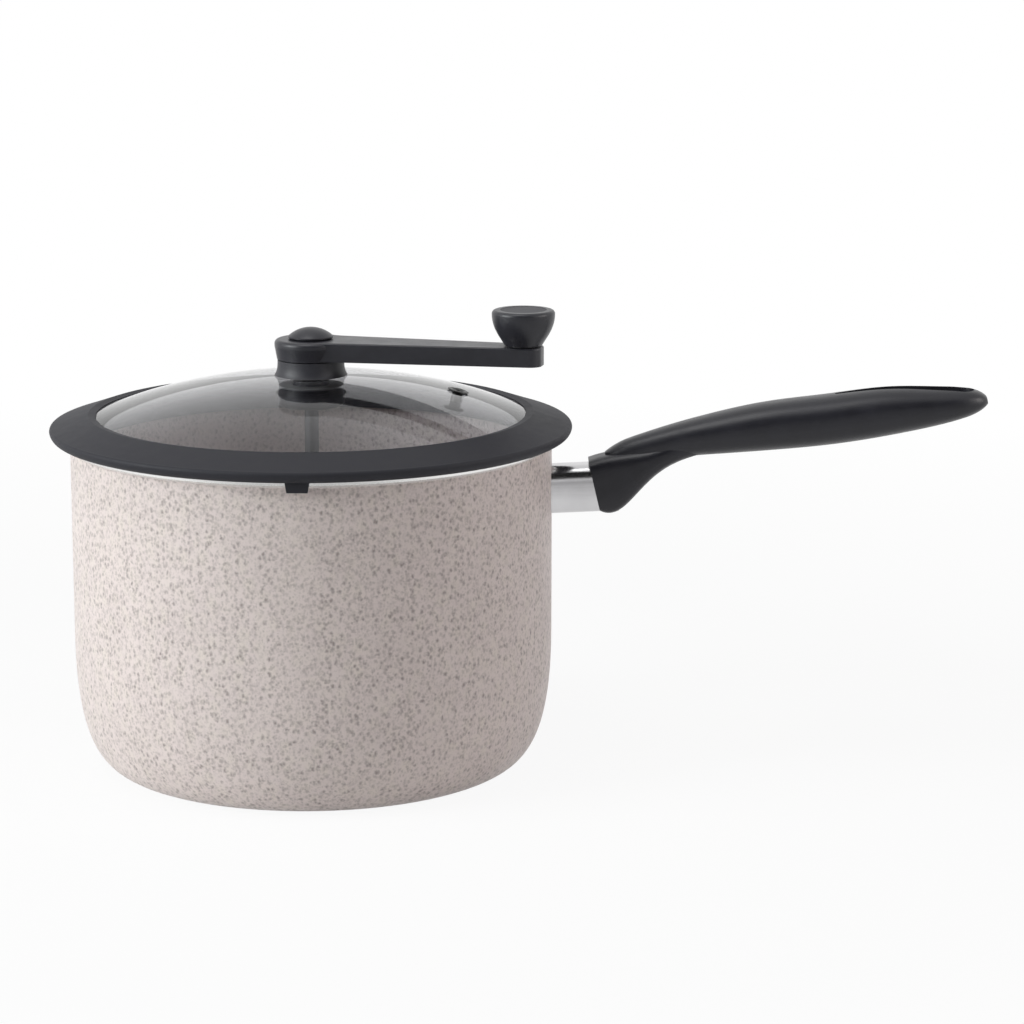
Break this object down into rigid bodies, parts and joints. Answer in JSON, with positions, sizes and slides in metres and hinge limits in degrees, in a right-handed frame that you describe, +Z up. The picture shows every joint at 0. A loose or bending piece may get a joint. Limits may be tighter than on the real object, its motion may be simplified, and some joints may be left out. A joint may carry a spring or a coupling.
{
  "type": "stovetop popcorn popper",
  "caption": "Deep round pot with a long side handle, a domed glass lid in a soft ring, and a hand crank on the lid that turns a stirrer over the pot's floor.",
  "frame": {"origin": "middle of the flat underside of the pot", "axes": "+Z up along the pot's axis and the crank's shaft; +X towards the end of the long handle; +Y away from a viewer who has the handle on the right"},
  "size_m": [0.3974, 0.2212, 0.1987],
  "materials": {
    "coated_aluminium": "satin",
    "base_steel": "satin",
    "polished_steel": "polished",
    "bracket_steel": "satin",
    "fastener_steel": "satin",
    "shaft_steel": "polished",
    "stirrer_steel": "satin",
    "black_handle": "satin",
    "black_plastic": "satin",
    "bush_plastic": "matte",
    "silicone": "matte",
    "gasket_silicone": "matte",
    "tempered_glass": "gloss",
    "eyelet_metal": "polished"
  },
  "bodies": {
    "pot": {"pot_shell": "coated_aluminium", "base_disc": "base_steel", "handle_bracket": "bracket_steel", "flame_guard": "polished_steel", "handle_grip": "black_handle", "handle_washer": "fastener_steel", "handle_screw": "fastener_steel"},
    "lid": {"lid_glass": "tempered_glass", "lid_seal": "silicone", "vent_eyelet": "eyelet_metal", "collar_top": "black_plastic", "collar_nut": "black_plastic", "gasket_top": "gasket_silicone", "gasket_bottom": "gasket_silicone", "bush_upper": "bush_plastic", "bush_lower": "bush_plastic"},
    "crank": {"crank_arm": "black_plastic", "crank_cap": "black_plastic", "crank_screw": "fastener_steel", "crank_washer": "fastener_steel", "drive_shaft": "shaft_steel", "thrust_washer": "shaft_steel", "shaft_circlip": "fastener_steel", "stirrer_hub": "black_plastic", "stirrer_pin": "fastener_steel", "stirrer_blade_a": "stirrer_steel", "stirrer_blade_b": "stirrer_steel", "knob_spindle": "shaft_steel", "knob_washer": "fastener_steel", "knob_retainer": "fastener_steel"},
    "knob": {"crank_knob": "black_plastic", "knob_cap": "black_plastic"}
  },
  "joints": [
    {"name": "lid_lift", "type": "slide", "parent": "pot", "child": "lid", "axis": [0, 0, 1], "range_m": [0, 0.18]},
    {"name": "crank_turn", "type": "hinge", "parent": "lid", "child": "crank", "pos_m": [0, 0, 0.17467], "axis": [0, 0, 1], "continuous": true},
    {"name": "knob_spin", "type": "hinge", "parent": "crank", "child": "knob", "pos_m": [0.08982, -0.01991, 0.18387], "axis": [0, 0, 1], "continuous": true}
  ]
}
